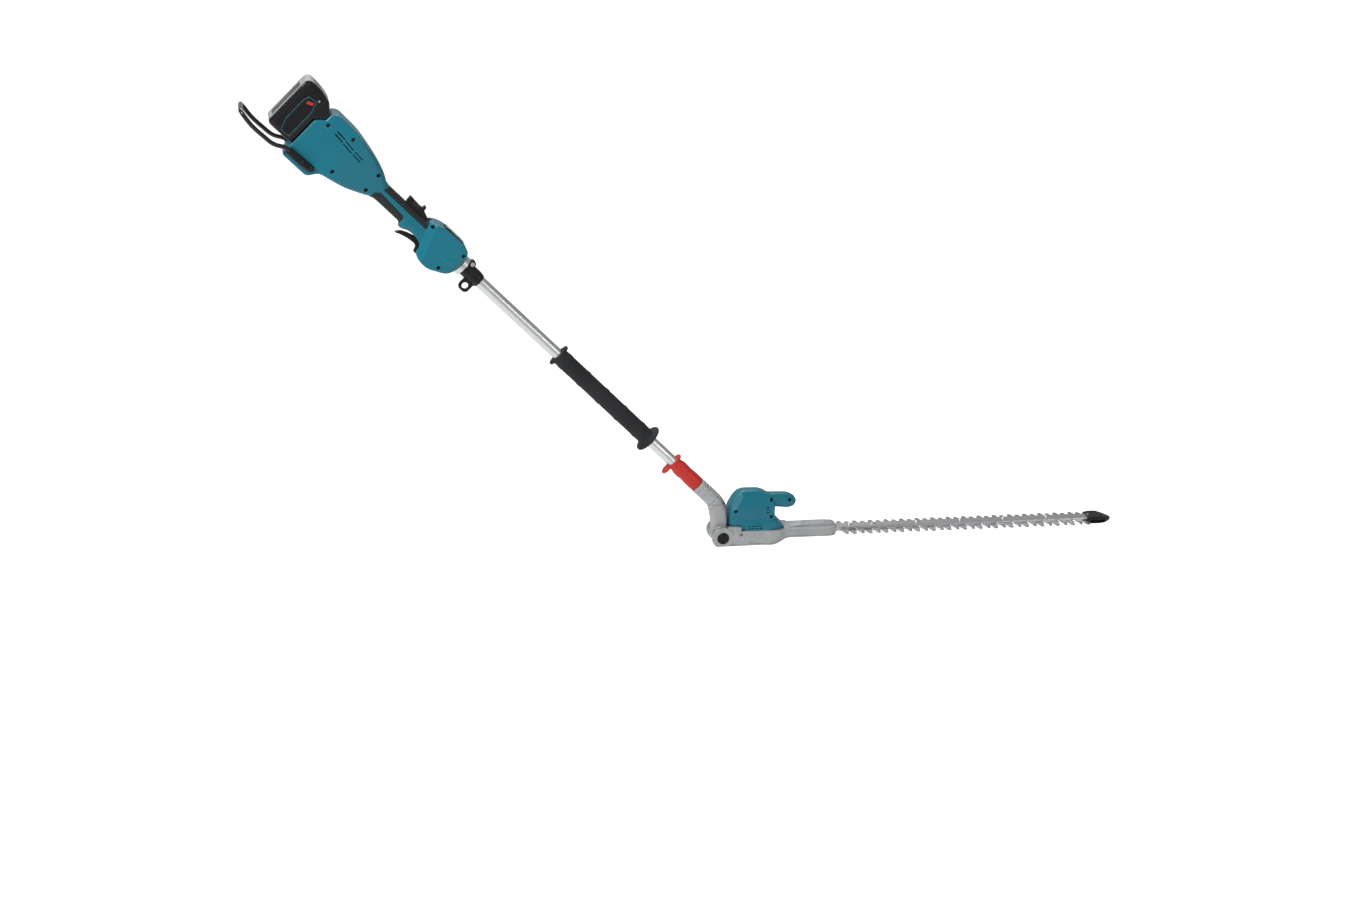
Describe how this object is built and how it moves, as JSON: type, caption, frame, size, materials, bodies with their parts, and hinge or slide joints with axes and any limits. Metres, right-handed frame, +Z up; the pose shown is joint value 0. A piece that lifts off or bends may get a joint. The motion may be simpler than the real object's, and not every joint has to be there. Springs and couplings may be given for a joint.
{
  "type": "pole hedge trimmer",
  "caption": "Battery pole hedge trimmer: straight pole with rear handle and battery, front grip, and a tilting motor head that drives a double-edged blade.",
  "frame": {"origin": "on the flat underside of the gear case, straight below the hinge axis, in the middle of the tool's width", "axes": "+X along the blades to their tip, +Y along the hinge axis, +Z up; the pole rises to the rear at 44 degrees"},
  "size_m": [1.9575, 0.108, 1.0317],
  "materials": {
    "aluminium_tube": "brushed, clear anodised",
    "teal_plastic": "fine moulded texture",
    "black_plastic": "fine moulded texture",
    "battery_plastic": "semi-gloss moulding",
    "grey_plastic": "fine moulded texture",
    "soft_rubber": "matt overmoulded",
    "red_plastic": "fine moulded texture",
    "cast_alloy": "satin silver-grey paint on die casting",
    "tool_steel": "ground",
    "plated_steel": "zinc plated",
    "black_steel": "black oxide",
    "black_paint": "gloss black powder coat",
    "laminations": "stacked sheet",
    "copper_wire": "enamelled winding",
    "magnet": "sintered",
    "circuit_potting": "potted board",
    "cable_jacket": "flexible jacket",
    "cell_wrap": "shrink wrap"
  },
  "bodies": {
    "root": {"pole_tube": "aluminium_tube", "left_housing": "teal_plastic", "right_housing": "teal_plastic", "housing_screws": "black_steel", "left_grip_rubber": "soft_rubber", "right_grip_rubber": "soft_rubber", "guard_loop": "black_paint", "guard_brackets": "black_plastic", "bracket_screws": "black_steel", "control_panel": "black_plastic", "battery_terminal": "black_plastic", "controller": "circuit_potting", "trigger_switch": "black_plastic", "power_cable": "cable_jacket", "front_collar": "aluminium_tube", "hanger_clamp": "black_plastic", "hanger_screw": "plated_steel", "front_grip": "soft_rubber", "left_arm_half": "cast_alloy", "right_arm_half": "cast_alloy", "arm_bolts": "black_steel", "lock_spring": "plated_steel", "lever_pins": "plated_steel"},
    "lock": {"lock_sleeve": "red_plastic", "lock_slider": "plated_steel"},
    "trigger": {"trigger": "black_plastic"},
    "lock_off": {"lock_off_lever": "black_plastic"},
    "power_button": {"power_button": "grey_plastic"},
    "speed_button": {"speed_button": "grey_plastic"},
    "battery": {"battery_case": "battery_plastic", "battery_cells": "cell_wrap"},
    "battery_latch": {"battery_latch": "grey_plastic"},
    "head": {"gear_case": "cast_alloy", "case_base": "cast_alloy", "case_bolts": "black_steel", "left_cover": "teal_plastic", "right_cover": "teal_plastic", "cover_screws": "black_steel", "hinge_bolt": "plated_steel", "hinge_caps": "black_plastic", "index_disc": "plated_steel", "motor_frame": "black_plastic", "stator_core": "laminations", "stator_windings": "copper_wire", "motor_bearings": "plated_steel", "crank_bearings": "plated_steel", "guide_bar": "aluminium_tube", "bar_bolts": "plated_steel", "bar_nuts": "plated_steel", "bar_anchor_screws": "plated_steel", "tip_guard": "black_plastic"},
    "rotor": {"rotor_shaft": "plated_steel", "rotor_core": "laminations", "rotor_magnets": "magnet", "cooling_fan": "black_plastic"},
    "crank": {"crank_gear": "plated_steel", "crank_shaft": "plated_steel"},
    "upper_blade": {"upper_blade": "tool_steel"},
    "lower_blade": {"lower_blade": "tool_steel"}
  },
  "joints": [
    {"name": "head_tilt", "type": "hinge", "parent": "root", "child": "head", "pos_m": [0, 0, 0.02], "axis": [0, 1, 0], "range_deg": [0, 135], "stiffness_Nm_per_rad": 12, "springref_deg": -74.48},
    {"name": "lock_pull", "type": "slide", "parent": "root", "child": "lock", "axis": [-0.7193, 0, 0.6947], "range_m": [0, 0.006], "stiffness_N_per_m": 800, "springref_m": -0.006},
    {"name": "trigger_pull", "type": "hinge", "parent": "root", "child": "trigger", "pos_m": [-0.64745, 0, 0.68833], "axis": [0, 1, 0], "range_deg": [0, 8], "stiffness_Nm_per_rad": 0.25, "springref_deg": -6.88},
    {"name": "lock_off_press", "type": "hinge", "parent": "root", "child": "lock_off", "pos_m": [-0.65891, 0, 0.73693], "axis": [0, -1, 0], "range_deg": [0, 6], "stiffness_Nm_per_rad": 0.2, "springref_deg": -5.73},
    {"name": "power_press", "type": "slide", "parent": "root", "child": "power_button", "axis": [-0.6947, 0, -0.7193], "range_m": [0, 0.0012], "stiffness_N_per_m": 1500, "springref_m": -0.001},
    {"name": "speed_press", "type": "slide", "parent": "root", "child": "speed_button", "axis": [-0.6947, 0, -0.7193], "range_m": [0, 0.0012], "stiffness_N_per_m": 1500, "springref_m": -0.001},
    {"name": "battery_slide", "type": "slide", "parent": "root", "child": "battery", "axis": [0.6947, 0, 0.7193], "range_m": [0, 0.1]},
    {"name": "latch_press", "type": "slide", "parent": "battery", "child": "battery_latch", "axis": [-0.6947, 0, -0.7193], "range_m": [0, 0.003], "stiffness_N_per_m": 600, "springref_m": -0.003},
    {"name": "crank_turn", "type": "hinge", "parent": "head", "child": "crank", "pos_m": [0.101, 0, 0.0273], "axis": [0, 0, 1], "range_deg": [0, 180]},
    {"name": "rotor_turn", "type": "hinge", "parent": "head", "child": "rotor", "pos_m": [0.06955, 0, 0.06], "axis": [0, 0, 1], "range_deg": [-900, 0]},
    {"name": "upper_stroke", "type": "slide", "parent": "head", "child": "upper_blade", "axis": [1, 0, 0], "range_m": [0, 0.01875]},
    {"name": "lower_stroke", "type": "slide", "parent": "head", "child": "lower_blade", "axis": [-1, 0, 0], "range_m": [0, 0.01875]}
  ],
  "couplings": [
    {"joint": "crank_turn", "follows": "upper_stroke", "rad_per_m": 167.55},
    {"joint": "rotor_turn", "follows": "upper_stroke", "rad_per_m": -837.76},
    {"joint": "lower_stroke", "follows": "upper_stroke", "ratio": 1}
  ]
}
